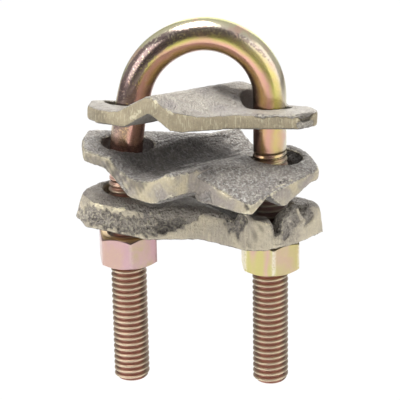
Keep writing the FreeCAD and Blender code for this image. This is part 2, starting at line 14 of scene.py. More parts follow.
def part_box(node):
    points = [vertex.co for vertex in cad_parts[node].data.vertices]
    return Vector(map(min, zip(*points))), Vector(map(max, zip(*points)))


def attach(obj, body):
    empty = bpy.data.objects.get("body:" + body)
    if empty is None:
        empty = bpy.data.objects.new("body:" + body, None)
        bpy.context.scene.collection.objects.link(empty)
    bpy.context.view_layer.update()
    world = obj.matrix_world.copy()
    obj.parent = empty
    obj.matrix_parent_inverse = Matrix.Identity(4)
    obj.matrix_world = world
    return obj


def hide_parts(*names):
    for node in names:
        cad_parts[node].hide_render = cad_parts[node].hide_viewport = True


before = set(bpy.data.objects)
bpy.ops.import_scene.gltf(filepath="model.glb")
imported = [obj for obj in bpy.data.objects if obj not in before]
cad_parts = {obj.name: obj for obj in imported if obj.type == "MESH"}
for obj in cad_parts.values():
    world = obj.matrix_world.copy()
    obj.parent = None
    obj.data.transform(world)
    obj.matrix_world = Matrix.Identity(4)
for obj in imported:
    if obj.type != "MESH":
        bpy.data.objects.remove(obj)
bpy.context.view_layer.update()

log = logging.getLogger("cross_connector")

MM = 0.001
MIX_FACTOR = 0
MIX_COLOR_A = 6
MIX_COLOR_B = 7
MIX_COLOR_OUT = 2

Color = tuple[float, float, float, float]
Place = tuple[float, float, float]
Stops = tuple[tuple[float, int, int, int], ...]


def rgb(red: float, green: float, blue: float) -> Color:
    """Turn a screen colour, 0 to 255 a channel, into the linear one that nodes take."""
    def linear(channel: float) -> float:
        """Undo the screen's curve on one channel."""
        share = channel / 255
        return share / 12.92 if share <= 0.04045 else ((share + 0.055) / 1.055) ** 2.4

    return linear(red), linear(green), linear(blue), 1.0


# Node trees written as expressions

def operator(operation: str, swapped: bool = False) -> Callable[..., "Port"]:
    """Make the method of Port that adds one Math node, with the port second if swapped."""
    def apply(port: "Port", other: "Value" = 0.0) -> "Port":
        """Add the node."""
        return port.graph.math(operation, *((other, port) if swapped else (port, other)))

    return apply


@dataclass(frozen=True)
class Port:
    """One output socket, on which arithmetic adds Math nodes."""

    graph: "Graph"
    socket: bpy.types.NodeSocket

    __add__ = operator("ADD")
    __radd__ = operator("ADD", swapped=True)
    __sub__ = operator("SUBTRACT")
    __rsub__ = operator("SUBTRACT", swapped=True)
    __mul__ = operator("MULTIPLY")
    __truediv__ = operator("DIVIDE")
    __abs__ = operator("ABSOLUTE")
    fract = operator("FRACT")
    least = operator("MINIMUM")
    most = operator("MAXIMUM")

    def rise(self, low: float, high: float) -> "Port":
        """Rise smoothly from 0 at low to 1 at high."""
        return self.graph.add(
            "ShaderNodeMapRange", {"interpolation_type": "SMOOTHSTEP"},
            {"Value": self, "From Min": low, "From Max": high})


Value = Port | float
Settings = Mapping[str, object] | None
Inputs = Mapping[str | int, object] | None


@dataclass(frozen=True)
class Noise:
    """Smooth noise: lumps in one metre, finer layers on top, and how far it is dragged about."""

    scale: float
    detail: float = 2.0
    distortion: float = 0.0


@dataclass(frozen=True)
class Graph:
    """A node tree that is built by calls and expressions."""

    tree: bpy.types.NodeTree

    def node(self, kind: str, settings: Settings = None, inputs: Inputs = None) -> bpy.types.Node:
        """Add one node.

        Args:
            kind: The node's type.
            settings: Its properties, set first; a ramp's stops under the name stops.
            inputs: Values or ports for its input sockets, by name or place.

        Returns:
            The node.
        """
        made = self.tree.nodes.new(kind)
        for name, setting in (settings or {}).items():
            if name == "stops":
                set_stops(made.color_ramp, setting)
            else:
                setattr(made, name, setting)
        for key, value in (inputs or {}).items():
            if isinstance(value, Port):
                self.tree.links.new(value.socket, made.inputs[key])
            else:
                made.inputs[key].default_value = value
        return made

    def add(self, kind: str, settings: Settings = None, inputs: Inputs = None,
            out: str | int = 0) -> Port:
        """Add one node and give one of its outputs, by name or place."""
        return Port(self, self.node(kind, settings, inputs).outputs[out])

    def math(self, operation: str, *values: Value) -> Port:
        """Add a Math node."""
        return self.add("ShaderNodeMath", {"operation": operation}, dict(enumerate(values)))

    def mask(self, name: str, out: str = "Fac") -> Port:
        """Read an attribute of the mesh in a material."""
        return self.add("ShaderNodeAttribute", {"attribute_name": name}, out=out)

    def noise(self, place: Port, kind: Noise) -> Port:
        """Add noise between 0 and 1, read at a place."""
        return self.add("ShaderNodeTexNoise", None, {
            "Vector": place, "Scale": kind.scale, "Detail": kind.detail,
            "Distortion": kind.distortion})

    def mix(self, share: Value, low: Port | Color, high: Port | Color) -> Port:
        """Mix two colours, of which the second shows by the share."""
        return self.add(
            "ShaderNodeMix", {"data_type": "RGBA"},
            {MIX_FACTOR: share, MIX_COLOR_A: low, MIX_COLOR_B: high}, MIX_COLOR_OUT)

    def paint(self, color: Port, layers: Sequence[tuple[Value, Color]]) -> Port:
        """Lay colours on one another, each by its share, from the lowest up."""
        for share, laid in layers:
            color = self.mix(share, color, laid)
        return color

    def metal(self, color: Port, metallic: Port, roughness: Port, height: Port,
              strength: float, depth: float) -> None:
        """End a material in a metal surface, whose height counts in units of depth millimetres."""
        bump = self.add("ShaderNodeBump", None, {
            "Strength": strength, "Distance": depth * MM, "Height": height})
        shader = self.add("ShaderNodeBsdfPrincipled", None, {
            "Base Color": color, "Metallic": metallic, "Roughness": roughness, "Normal": bump})
        self.node("ShaderNodeOutputMaterial", None, {"Surface": shader})


def set_stops(ramp: bpy.types.ColorRamp, stops: Stops) -> None:
    """Give a new ramp its stops."""
    while len(ramp.elements) < len(stops):
        ramp.elements.new(1.0)
    for element, (place, *channels) in zip(ramp.elements, stops):
        element.position = place
        element.color = rgb(*channels)


def empty_graph(owner: bpy.types.Material | bpy.types.World) -> Graph:
    """Empty a material or a world and give the graph that fills it."""
    owner.use_nodes = True
    owner.node_tree.nodes.clear()
    return Graph(owner.node_tree)


class ShapeTree:
    """A Geometry Nodes tree with named sizes that ends in one mesh with one material."""

    def __init__(self, name: str, sizes: Sequence[str]) -> None:
        """Make the tree with a number input for each size."""
        self.tree = bpy.data.node_groups.new(name, "GeometryNodeTree")
        face = self.tree.interface
        face.new_socket("Geometry", in_out="OUTPUT", socket_type="NodeSocketGeometry")
        face.new_socket("Geometry", in_out="INPUT", socket_type="NodeSocketGeometry")
        for size in sizes:
            face.new_socket(size, in_out="INPUT", socket_type="NodeSocketFloat")
        face.new_socket("Finish", in_out="INPUT", socket_type="NodeSocketMaterial")
        self.graph = Graph(self.tree)
        self.source = self.tree.nodes.new("NodeGroupInput")

    def given(self, name: str) -> Port:
        """Give one of the tree's inputs as a port."""
        return Port(self.graph, self.source.outputs[name])

    def attribute(self, name: str, kind: str = "FLOAT") -> Port:
        """Read a named attribute of the mesh."""
        return self.graph.add("GeometryNodeInputNamedAttribute", {"data_type": kind}, {"Name": name})

    def end(self, direction: Port, distance: Port) -> None:
        """Move the points along a direction, by a distance in metres, and close the tree."""
        offset = self.graph.add(
            "ShaderNodeVectorMath", {"operation": "SCALE"}, {0: direction, "Scale": distance})
        moved = self.graph.add(
            "GeometryNodeSetPosition", None, {"Geometry": self.given("Geometry"), "Offset": offset})
        real = self.graph.add("GeometryNodeRealizeInstances", None, {"Geometry": moved})
        dressed = self.graph.add(
            "GeometryNodeSetMaterial", None, {"Geometry": real, "Material": self.given("Finish")})
        self.graph.node("NodeGroupOutput", None, {"Geometry": dressed})

    def run(self, piece: bpy.types.Object, finish: bpy.types.Material,
            sizes: Mapping[str, float]) -> None:
        """Run the tree on a piece with its sizes and keep the result as its plain mesh."""
        modifier = piece.modifiers.new("shape", "NODES")
        modifier.node_group = self.tree
        values = dict(sizes) | {"Finish": finish}
        for item in self.tree.interface.items_tree:
            if item.name in values:
                modifier[item.identifier] = values[item.name]
        bake_modifiers(piece)


# Mesh helpers

def bake_modifiers(piece: bpy.types.Object) -> None:
    """Turn a piece's modifiers into its plain mesh and remove them."""
    seen = piece.evaluated_get(bpy.context.evaluated_depsgraph_get())
    mesh = bpy.data.meshes.new_from_object(seen)
    piece.modifiers.clear()
    piece.data = mesh


def new_piece(name: str, data: bpy.types.ID) -> bpy.types.Object:
    """Put a mesh, a lamp or a camera into the scene at the origin."""
    piece = bpy.data.objects.new(name, data)
    bpy.context.scene.collection.objects.link(piece)
    return piece


def grid_mesh(name: str, points: np.ndarray, capped: bool) -> bpy.types.Mesh:
    """Make a mesh from rings of points.

    Args:
        name: The mesh's name.
        points: Rings by columns by 3, in metres; each ring closes on itself.
        capped: True closes both ends with a fan, False joins the last ring to the first.

    Returns:
        The mesh, with its faces outwards for rings that turn left about the way they go.
    """
    rings, columns = points.shape[:2]
    last = rings - 1 if capped else rings
    ring = np.arange(last)[:, None]
    column = np.arange(columns)[None, :]
    above = (ring + 1) % rings
    beside = (column + 1) % columns
    quads = np.stack([
        ring * columns + column, ring * columns + beside,
        above * columns + beside, above * columns + column], axis=-1)
    vertices = points.reshape(-1, 3)
    faces = quads.reshape(-1, 4).tolist()
    if capped:
        first = rings * columns
        top = (rings - 1) * columns
        vertices = np.vstack([vertices, points[0].mean(axis=0), points[-1].mean(axis=0)])
        faces += [[(c + 1) % columns, c, first] for c in range(columns)]
        faces += [[top + c, top + (c + 1) % columns, first + 1] for c in range(columns)]
    mesh = bpy.data.meshes.new(name)
    mesh.from_pydata(vertices.tolist(), [], faces)
    mesh.update()
    return mesh


def write(mesh: bpy.types.Mesh, values: Mapping[str, np.ndarray], width: int = 1) -> None:
    """Store numbers, or vectors of width 3, at a mesh's points; points past the list get 0."""
    kind, field = ("FLOAT", "value") if width == 1 else ("FLOAT_VECTOR", "vector")
    for name, rows in values.items():
        padded = np.zeros(len(mesh.vertices) * width, dtype=np.float32)
        padded[:rows.size] = rows.ravel()
        mesh.attributes.new(name, kind, "POINT").data.foreach_set(field, padded)


def read_rows(items: bpy.types.bpy_prop_collection, field: str) -> np.ndarray:
    """Read one vector of each item as rows."""
    flat = np.empty(len(items) * 3, dtype=np.float32)
    items.foreach_get(field, flat)
    return flat.reshape(-1, 3).astype(np.float64)


def step(values: np.ndarray, low: float, high: float) -> np.ndarray:
    """Rise smoothly from 0 at low to 1 at high."""
    share = np.clip((values - low) / (high - low), 0.0, 1.0)
    return share * share * (3 - 2 * share)


def turns_about(outward: np.ndarray) -> np.ndarray:
    """Give the angle of each direction about the upright axis, in whole turns."""
    return np.arctan2(outward[..., 1], outward[..., 0]) / (2 * math.pi)


# Finishes

FILM_DRAG = Noise(1.1, 2.0, 0.2)
FILM_CLOUD = Noise(380.0, 4.0)
FILM_FINE = Noise(2200.0)
FILM_SPECK = Noise(1900.0, 3.0, 0.3)
FILM_PATCH = Noise(150.0, 2.0, 0.6)
CAST_BROAD = Noise(150.0, 3.0, 0.4)
CAST_PATCH = Noise(460.0, 5.0, 0.2)
CAST_PEBBLE = Noise(1600.0, 3.0, 0.1)
CAST_GRAIN = Noise(3400.0)
CAST_SCRATCH = Noise(520.0, 3.0)
CAST_PITS = 900.0
SCRATCH_STRETCH = (5.0, 5.0, 0.5)
SCRATCH_LEAN = (0.0, 0.22, 0.0)


@dataclass(frozen=True)
class Plating:
    """Yellow passivated zinc plating, whose film changes colour round the rod; on the bolt these
    colours round the rod also paint a highlight and dark reflections.
    """

    name: str
    film_and_reflections: Stops
    blush: Color
    worn: Color
    # Darker colour in the thread roots and in the nut's bore.
    root_dark: Color
    roughness: float
    drift: float
    corner_wear: float = 0.0
    # Painted dark reflection, laid on the bow where the shade attribute is.
    shade: Color = rgb(116, 97, 97)
    # Painted shade on the right leg, between the right nut and the middle plate.
    grime: Color = rgb(70, 64, 62)
    bare: Color = rgb(232, 226, 214)
    # Painted light on the nut's top face and chamfer, which lie in the shade of the plate above.
    ring: Color = rgb(226, 196, 140)
    # Painted shade on the left and right flanks of the threaded rod.
    side: Color = rgb(104, 96, 80)

    def build(self) -> bpy.types.Material:
        """Make the material.

        Returns:
            The material, which reads the attributes that BentBolt and HexagonNut write.
        """
        material = bpy.data.materials.new(self.name)
        graph = empty_graph(material)
        mask = graph.mask
        place = graph.add("ShaderNodeTexCoord", out="Object")
        drag = graph.noise(mask("around", "Vector"), FILM_DRAG) - 0.5
        cloud = graph.noise(place, FILM_CLOUD)
        fine = graph.noise(place, FILM_FINE)
        speck = graph.noise(place, FILM_SPECK)
        patch = graph.noise(place, FILM_PATCH).rise(0.46, 0.66)
        deep = mask("deep")
        rolled = mask("rolled")
        # The shade band is a painted dark reflection on the bow, broken up by specks.
        shaded = (mask("shade") + (speck - 0.5) * 3.4 + (cloud - 0.5) * 0.8).rise(0.3, 0.8)
        hue = mask("sweep") + drag * self.drift + (cloud - 0.5) * 0.05
        # The film's colours round the rod, with a painted highlight and painted dark reflections on
        # the bolt, under the layers below.
        film_and_reflections = graph.paint(graph.add("ShaderNodeValToRGB", {"stops": self.film_and_reflections}, {0: hue}), (
            (patch * 0.55, self.blush),
            (mask("flush") * 0.8, self.blush),
            (speck.rise(0.55, 0.72) * 0.35, self.worn),
            (mask("corner") * speck.rise(0.3, 0.55) * self.corner_wear, self.bare),
            # Painted light on the nut's top face and chamfer.
            (mask("crown") * 0.8, self.ring),
            (rolled * 0.9, self.worn),
            # Darker colour in the thread roots and in the nut's bore.
            (deep * (0.65 + cloud * 0.4), self.root_dark),
            # Painted shade on the flanks of the threaded rod.
            (mask("side") * (0.3 + cloud * 0.6), self.side),
            # Painted dark reflection on the bow.
            (shaded * mask("shade") * 0.9, self.shade),
            # Painted shade on the right leg, between the right nut and the middle plate.
            (mask("grime"), self.grime)))
        metallic = 0.92 - rolled * 0.4 - mask("grime") * 0.4
        roughness = fine * 0.12 + (self.roughness - 0.06) + rolled * 0.16 + deep * 0.1
        graph.metal(film_and_reflections, metallic, roughness, fine + speck * 1.5, strength=0.2, depth=0.06)
        return material


@dataclass(frozen=True)
class CastBronze:
    """Rough cast bronze with ground faces, rubbed edges, dark skin and painted shade in hollows, and
    painted highlights on the pebble tops.
    """

    name: str
    skin: Color
    skin_dark: Color
    painted_grain_highlight: Color
    ground: Color
    ground_dark: Color
    rubbed: Color
    hollow: Color
    tarnish: Color
    pebbled: float
    scored: float
    seed: float

    def build(self) -> bpy.types.Material:
        """Make the material.

        Returns:
            The material, which reads the attributes for the ground faces, the rubbed edges, the
            painted shade with dark skin, and the crust.
        """
        material = bpy.data.materials.new(self.name)
        graph = empty_graph(material)
        place = graph.add("ShaderNodeVectorMath", {"operation": "ADD"}, {
            0: graph.add("ShaderNodeTexCoord", out="Object"), 1: (self.seed, 0.0, 0.0)})
        broad = graph.noise(place, CAST_BROAD)
        patch = graph.noise(place, CAST_PATCH)
        pebble = graph.noise(place, CAST_PEBBLE)
        grain = graph.noise(place, CAST_GRAIN)
        pit = graph.add("ShaderNodeTexVoronoi", None, {
            "Vector": place, "Scale": CAST_PITS, "Randomness": 1.0}, out="Distance")
        drawn = graph.add("ShaderNodeMapping", None, {
            "Vector": place, "Scale": SCRATCH_STRETCH, "Rotation": SCRATCH_LEAN})
        scratch = graph.noise(drawn, CAST_SCRATCH)

        crust = graph.mask("crust")
        # Painted shade with dark skin: valleys, bores, undersides and the marked spots.
        hollow = graph.mask("hollow")
        uneven = (patch - 0.5) * 1.3 + (pebble - 0.5) * 1.3
        ground = (graph.mask("ground") + (patch - 0.5) * 0.5 + (pebble - 0.5) * 0.2).rise(0.3, 0.7)
        rubbed = (graph.mask("rubbed") * 0.5 + uneven).rise(0.3, 0.68)
        broken = (patch * 0.5 + pebble * 0.5).rise(0.48, 0.36)

        cast = graph.mix(patch.rise(0.32, 0.66) * 0.6 + 0.4, self.skin_dark, self.skin)
        cast = graph.paint(cast, (
            # The next two layers paint a highlight on the pebble tops and shade in their dips; the
            # fourth paints shade in small pits.
            (pebble.rise(0.5, 0.62) * self.pebbled * 0.6, self.painted_grain_highlight),
            (pebble.rise(0.45, 0.34) * self.pebbled * 0.4, self.skin_dark),
            (broad.rise(0.46, 0.7) * 0.4, self.tarnish),
            ((1 - pit.rise(0.06, 0.3)) * patch.rise(0.48, 0.38) * 0.7, self.hollow)))
        clean = graph.mix(broad.rise(0.38, 0.62), self.ground, self.ground_dark)
        clean = graph.paint(clean, (
            (pebble.rise(0.52, 0.66) * 0.16, self.rubbed),
            (pebble.rise(0.46, 0.36) * 0.14, self.skin_dark),
            (scratch.rise(0.54, 0.68) * self.scored, self.rubbed),
            (scratch.rise(0.44, 0.32) * self.scored * 0.4, self.skin_dark)))
        color = graph.paint(graph.mix(ground, cast, clean), (
            (crust * broken * 0.45, self.hollow),
            (crust * pebble.rise(0.5, 0.64) * 0.35, self.rubbed),
            (rubbed * 0.85, self.rubbed),
            (hollow * 0.85, self.hollow)))

        metallic = ground * 0.15 + rubbed * 0.15 + 0.5 - hollow * 0.45
        roughness = 0.44 + ground * 0.04 - rubbed * 0.08 + grain * 0.12 + crust * 0.1 + hollow * 0.2
        bumpy = (1 - ground * 0.85) * (1 - hollow * 0.6) * self.pebbled
        rough_skin = bumpy * (pebble * 3.4 + patch * 1.6 + grain * 0.4 - (1 - pit) * 0.4)
        height = rough_skin + ground * (scratch * 0.4 + grain * 0.2) + crust * patch * 1.2
        graph.metal(color, metallic, roughness, height, strength=1.0, depth=0.75)
        return material


# The rolled thread

@dataclass(frozen=True)
class RolledThread:
    """The right-hand thread that the bolt's legs and the nuts share, in millimetres."""

    pitch: float = 1.5875
    crest: float = 4.675
    root: float = 3.74
    rows: int = 12

    def tree(self) -> ShapeTree:
        """Make the tree that rolls the thread into a smooth wall.

        Returns:
            The tree, which reads the attributes that write_wall writes.
        """
        shape = ShapeTree("rolled_thread", ("Pitch", "Root", "Crest", "Play"))
        phase = shape.attribute("height") / shape.given("Pitch") - shape.attribute("turn")
        wave = abs(phase.fract() * 2 - 1)
        rise = wave.rise(0.06, 0.86)
        root = shape.given("Root")
        radius = root + (shape.given("Crest") - root) * rise + shape.given("Play")
        kept = radius.most(shape.attribute("least")).least(shape.attribute("most"))
        distance = (kept - shape.attribute("base")) * shape.attribute("rolled")
        shape.end(shape.attribute("outward", "FLOAT_VECTOR"), distance)
        return shape

    def write_wall(self, mesh: bpy.types.Mesh, outward: np.ndarray, rolled: np.ndarray,
                   **sizes: np.ndarray | float) -> None:
        """Write what the tree reads, as arrays of rings by columns.

        Args:
            mesh: The smooth wall.
            outward: The way away from the axis.
            rolled: How much of the thread is there, from 0 to 1.
            sizes: The height, the wall's radius as base, and the least and most radius allowed.
        """
        write(mesh, {"outward": outward}, width=3)
        write(mesh, {"turn": turns_about(outward), "rolled": rolled})
        write(mesh, {name: size * MM * np.ones_like(rolled) for name, size in sizes.items()})

    def cut(self, piece: bpy.types.Object, finish: Plating, play: float, crease: float) -> None:
        """Roll the thread into a piece, dress it and keep edges past the crease's angle sharp."""
        self.tree().run(piece, finish.build(), {
            "Pitch": self.pitch * MM, "Root": self.root * MM,
            "Crest": self.crest * MM, "Play": play * MM})
        piece.data.shade_smooth()
        piece.data.set_sharp_from_angle(angle=math.radians(crease))


# The bent bolt

# The bow's painted dark reflection band: where it starts and ends round the rod, by how far the bow
# has turned, in degrees.
BAND_TURNS = (0.0, 15.0, 45.0, 90.0, 135.0, 170.0)
BAND_STARTS = (0.60, 0.56, 0.575, 0.63, 0.625, 0.62)
BAND_ENDS = (0.79, 0.785, 0.755, 0.73, 0.67, 0.60)


@dataclass(frozen=True)
class Rings:
    """The bolt's skin, each array rings by columns, in millimetres and radians."""

    run: np.ndarray
    angle: np.ndarray
    tall: np.ndarray
    lean: np.ndarray
    outward: np.ndarray
    points: np.ndarray


@dataclass
class BentBolt:
    """The bolt: two threaded legs and a bow that leans to the right, in millimetres.

    Each pair for the film, for its painted dark reflection and for the painted shade on the right leg
    says where a change of colour starts and ends.
    """

    finish: Plating
    thread: RolledThread
    leg: float = 18.55
    rod: float = 8.45
    straight: float = 55.97
    bends: tuple[tuple[float, float], ...] = ((93.4, 15.08), (19.48, 59.0), (16.023, 105.92))
    thread_left: float = 57.0
    thread_right: float = 64.0
    lead: float = 0.85
    fade: float = 1.4
    runout: float = 5.5
    columns: int = 60
    smooth_step: float = 0.8
    crease: float = 50.0
    band_soft: float = 0.02
    band_above: tuple[float, float] = (62.0, 74.0)
    crown_turns: tuple[float, float] = (55.0, 80.0)
    crown_fade: float = 0.24
    shift_turns: tuple[float, float] = (120.0, 180.0)
    shift: float = 0.05
    flush_below: tuple[float, float] = (64.0, 74.0)
    # Where the painted shade on the right leg rises and falls in height, and how dark it is.
    painted_shade_above: tuple[float, float] = (40.0, 46.0)
    painted_shade_below: tuple[float, float] = (52.0, 58.0)
    grime: float = 0.72
    drift_along: float = 0.012

    def path_length(self) -> float:
        """Give the length of the centre line, whose right end is level with the left one."""
        arcs = sum(radius * math.radians(turn) for radius, turn in self.bends)
        last_bend = self.straight + arcs
        return last_bend + self.centre(last_bend)[1]

    def centre(self, run: float) -> tuple[float, float, float]:
        """Find a place on the centre line.

        Args:
            run: Distance from the left leg's end.

        Returns:
            The place's x and z, and the angle turned from straight up to the right.
        """
        if run <= self.straight:
            return -self.leg, run, 0.0
        x, z, turned = -self.leg, self.straight, 0.0
        left = run - self.straight
        for radius, turn in self.bends:
            part = min(left, radius * math.radians(turn))
            end = turned + part / radius
            x += radius * (math.cos(turned) - math.cos(end))
            z += radius * (math.sin(end) - math.sin(turned))
            turned = end
            left -= part
        return x + left * math.sin(turned), z + left * math.cos(turned), turned

    def stations(self) -> np.ndarray:
        """List the distances along the centre line where rings stand."""
        fine = self.thread.pitch / self.thread.rows
        total = self.path_length()
        left_end = self.thread_left + self.fade
        right_end = total - self.thread_right - self.fade
        left = np.arange(0.0, left_end, fine)
        bow = np.arange(left_end, right_end, self.smooth_step)
        right = total - np.arange(0.0, self.thread_right + self.fade, fine)[::-1]
        return np.concatenate([left, bow, right])

    def rings(self) -> Rings:
        """Lay the rings of the skin along the centre line.

        Returns:
            The rings.
        """
        runs = self.stations()
        columns = np.linspace(0.0, 2 * math.pi, self.columns, endpoint=False)
        angle, run = np.meshgrid(columns, runs)
        path = np.array([self.centre(float(place)) for place in runs])
        across, tall, lean = (np.repeat(line[:, None], self.columns, axis=1) for line in path.T)
        outward = np.stack([
            np.cos(angle) * np.cos(lean), np.sin(angle), -np.cos(angle) * np.sin(lean)], axis=-1)
        centre = np.stack([across, 0 * across, tall], axis=-1)
        return Rings(run, angle, tall, lean, outward, centre + outward * self.rod / 2)

    def rolled(self, rings: Rings) -> np.ndarray:
        """Give how much of the thread is there at each point."""
        top = np.where(rings.run < self.path_length() / 2, self.thread_left, self.thread_right)
        return 1 - step(rings.tall, top - self.runout, top + self.fade)

    def write_film_and_shading(self, mesh: bpy.types.Mesh, rings: Rings, rolled: np.ndarray) -> None:
        """Write where the film on the bolt's skin changes colour, where the painted dark reflection
        lies on the bow, where painted shade falls on the right leg below the middle plate, and where
        the thread's flanks get painted shade.
        """
        on_left = rings.run < self.path_length() / 2
        sweep = rings.angle / (2 * math.pi)
        turned = np.degrees(rings.lean)
        first = np.interp(turned, BAND_TURNS, BAND_STARTS)
        last = np.interp(turned, BAND_TURNS, BAND_ENDS)
        soft = self.band_soft
        band = step(sweep, first - soft, first + soft) * (1 - step(sweep, last - soft, last + soft))
        band *= step(rings.run, *self.band_above)
        band *= 1 - self.crown_fade * step(turned, *self.crown_turns)
        # Painted shade on the right leg, between the right nut and the middle plate.
        between_plates = step(rings.tall, *self.painted_shade_above) * (1 - step(rings.tall, *self.painted_shade_below))
        phase = rings.tall / self.thread.pitch - turns_about(rings.outward)
        wave = np.abs(2 * np.mod(phase, 1.0) - 1)
        sideways = np.cos(rings.angle)
        around = np.stack([sideways, np.sin(rings.angle), rings.run * self.drift_along], axis=-1)
        write(mesh, {"around": around}, width=3)
        write(mesh, {
            "sweep": sweep + self.shift * step(turned, *self.shift_turns),
            # Painted dark reflection band on the bow.
            "shade": band,
            "flush": on_left * (1 - step(rings.tall, *self.flush_below)),
            "grime": ~on_left * self.grime * between_plates,
            "deep": rolled * (1 - step(wave, 0.4, 0.86)),
            # Painted shade on the flanks of the threaded rod.
            "side": rolled * step(np.abs(sideways), 0.6, 0.95)})

    def build(self) -> bpy.types.Object:
        """Build the bolt as one closed skin.

        Returns:
            The dressed piece.
        """
        rings = self.rings()
        rolled = self.rolled(rings)
        mesh = grid_mesh("u_bolt_skin", rings.points * MM, capped=True)
        most = self.thread.crest - self.lead + rings.tall
        self.thread.write_wall(mesh, rings.outward, rolled, height=rings.tall, base=self.rod / 2,
                               least=0.0, most=most)
        self.write_film_and_shading(mesh, rings, rolled)

        piece = new_piece("bent_bolt", mesh)
        self.thread.cut(piece, self.finish, 0.0, self.crease)
        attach(piece, "bow")
        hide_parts("u_bolt")
        return piece


# The nuts

class NutSide(Enum):
    """Which leg a nut sits on: its node, its body and its corner's angle from the front."""

    LEFT = ("left_nut", "nut_left", 12.0)
    RIGHT = ("right_nut", "nut_right", 9.0)


@dataclass
class HexagonNut:
    """A double chamfered hexagon nut, in millimetres and degrees."""

    side: NutSide
    finish: Plating
    thread: RolledThread
    across: float = 14.29
    face: float = 13.5
    slope: float = 30.0
    sink: float = 0.7
    play: float = 0.09
    sharpness: float = 70.0
    columns: int = 144
    chamfer_rows: int = 4
    side_rows: int = 12
    crease: float = 35.0
    drift_along: float = 0.05

    def hexagon(self, angle: np.ndarray) -> np.ndarray:
        """Give the hexagon's radius at some angles, with softly rounded corners."""
        corner = math.radians(self.side.value[2] - 90)
        sides = corner + math.radians(30) + np.arange(6) * math.radians(60)
        nearness = np.maximum(np.cos(angle[None, :] - sides[:, None]), 0.0)
        return self.across / 2 / (nearness ** self.sharpness).sum(axis=0) ** (1 / self.sharpness)

    def profile(self, hexagon: np.ndarray, rise: np.ndarray,
                tall: float) -> tuple[np.ndarray, np.ndarray, int]:
        """Lay the rings from the lower mouth round the outside and down through the bore.

        Args:
            hexagon: The hexagon's radius at each column.
            rise: The chamfer's height at each column.
            tall: The nut's height.

        Returns:
            The rings' radius and height, rings by columns, and how many lie outside the bore.
        """
        face = self.face / 2
        bore = self.thread.crest + self.play
        mouth = bore + self.sink
        flat = np.ones_like(hexagon)
        edge = [
            ((mouth + (face - mouth) * share) * flat, 0 * flat)
            for share in np.linspace(0.0, 1.0, self.chamfer_rows)]
        edge += [
            (face + (hexagon - face) * share, rise * share)
            for share in np.linspace(0.25, 1.0, self.chamfer_rows)]
        rings = edge + [
            (hexagon, rise + (tall - 2 * rise) * share)
            for share in np.linspace(0.0, 1.0, self.side_rows)[1:-1]]
        rings += [(radius, tall - height) for radius, height in edge[::-1]]
        outside = len(rings)
        count = int(tall / self.thread.pitch * self.thread.rows)
        rings += [(bore * flat, tall * share * flat) for share in np.linspace(1.0, 0.0, count)[1:-1]]
        radius, height = (np.array(rows) for rows in zip(*rings))
        return radius, height, outside

    def build(self) -> bpy.types.Object:
        """Build the nut as one closed skin with its thread inside.

        Returns:
            The dressed piece.
        """
        node, body, _ = self.side.value
        low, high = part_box(node)
        tall = (high.z - low.z) / MM
        centre = np.array([math.copysign(BentBolt.leg, low.x + high.x), 0.0, low.z / MM])
        columns = np.linspace(0.0, 2 * math.pi, self.columns, endpoint=False)
        hexagon = self.hexagon(columns)
        rise = np.maximum(hexagon - self.face / 2, 0.0) * math.tan(math.radians(self.slope))
        radius, height, outside = self.profile(hexagon, rise, tall)
        angle = np.broadcast_to(columns, radius.shape)
        outward = np.stack([np.cos(angle), np.sin(angle), 0 * angle], axis=-1)
        points = centre + outward * radius[..., None]
        points[..., 2] += height
        mesh = grid_mesh(node + "_skin", points * MM, capped=False)

        inside = (np.arange(len(radius)) >= outside)[:, None] * np.ones_like(columns)
        mouth = self.thread.crest + self.play + self.sink
        least = np.maximum(mouth - np.minimum(height, tall - height), 0.0)
        self.thread.write_wall(mesh, outward, inside, height=height + centre[2], base=radius,
                               least=least, most=mouth)
        toward_corner = (hexagon - self.across / 2) / (hexagon.max() - self.across / 2)
        around = np.stack([np.cos(angle), np.sin(angle), height * self.drift_along], axis=-1)
        write(mesh, {"around": around}, width=3)
        write(mesh, {
            "sweep": np.abs(angle / math.pi - 1),
            "deep": inside * 0.8,
            "corner": step(toward_corner, 0.72, 0.95) * (1 - inside),
            # Painted light on the top face and chamfer.
            "crown": (height > tall - rise * 0.6) * (1 - inside)})

        piece = new_piece(node + "_dressed", mesh)
        self.thread.cut(piece, self.finish, self.play, self.crease)
        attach(piece, body)
        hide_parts(node)
        return piece


# The cast plates

RAGGED_FINE = np.array([3.1, -2.3, 2.7])
RAGGED_BROAD = np.array([-1.1, 1.7, 1.3])
RAGGED = 0.16
SKIN_LUMPS = Noise(190.0, 2.0, 0.3)
SKIN_PEBBLES = Noise(900.0)
WALL_TILT = (0.62, 0.42)
BORE_TILT = (0.55, 0.35)
UNDER_TILT = (-0.3, -0.6)
FACES_LEG = (0.25, 0.6)
EDGE_BULGE = (0.08, 0.3)
VALLEY_BULGE = (-0.06, -0.3)


class MarkKind(Enum):
    """What a mark on a plate is: how it is coloured, whether it is bare or rough, or shape alone."""

    CRUST = "crust"
    # Painted shade, with dark skin in the valleys.
    HOLLOW = "hollow"
    RUBBED = "rubbed"
    GROUND = "ground"
    SKIN = "skin"
    SHAPE = "shape"


CRUST, HOLLOW, RUBBED, GROUND, SKIN, SHAPE = MarkKind


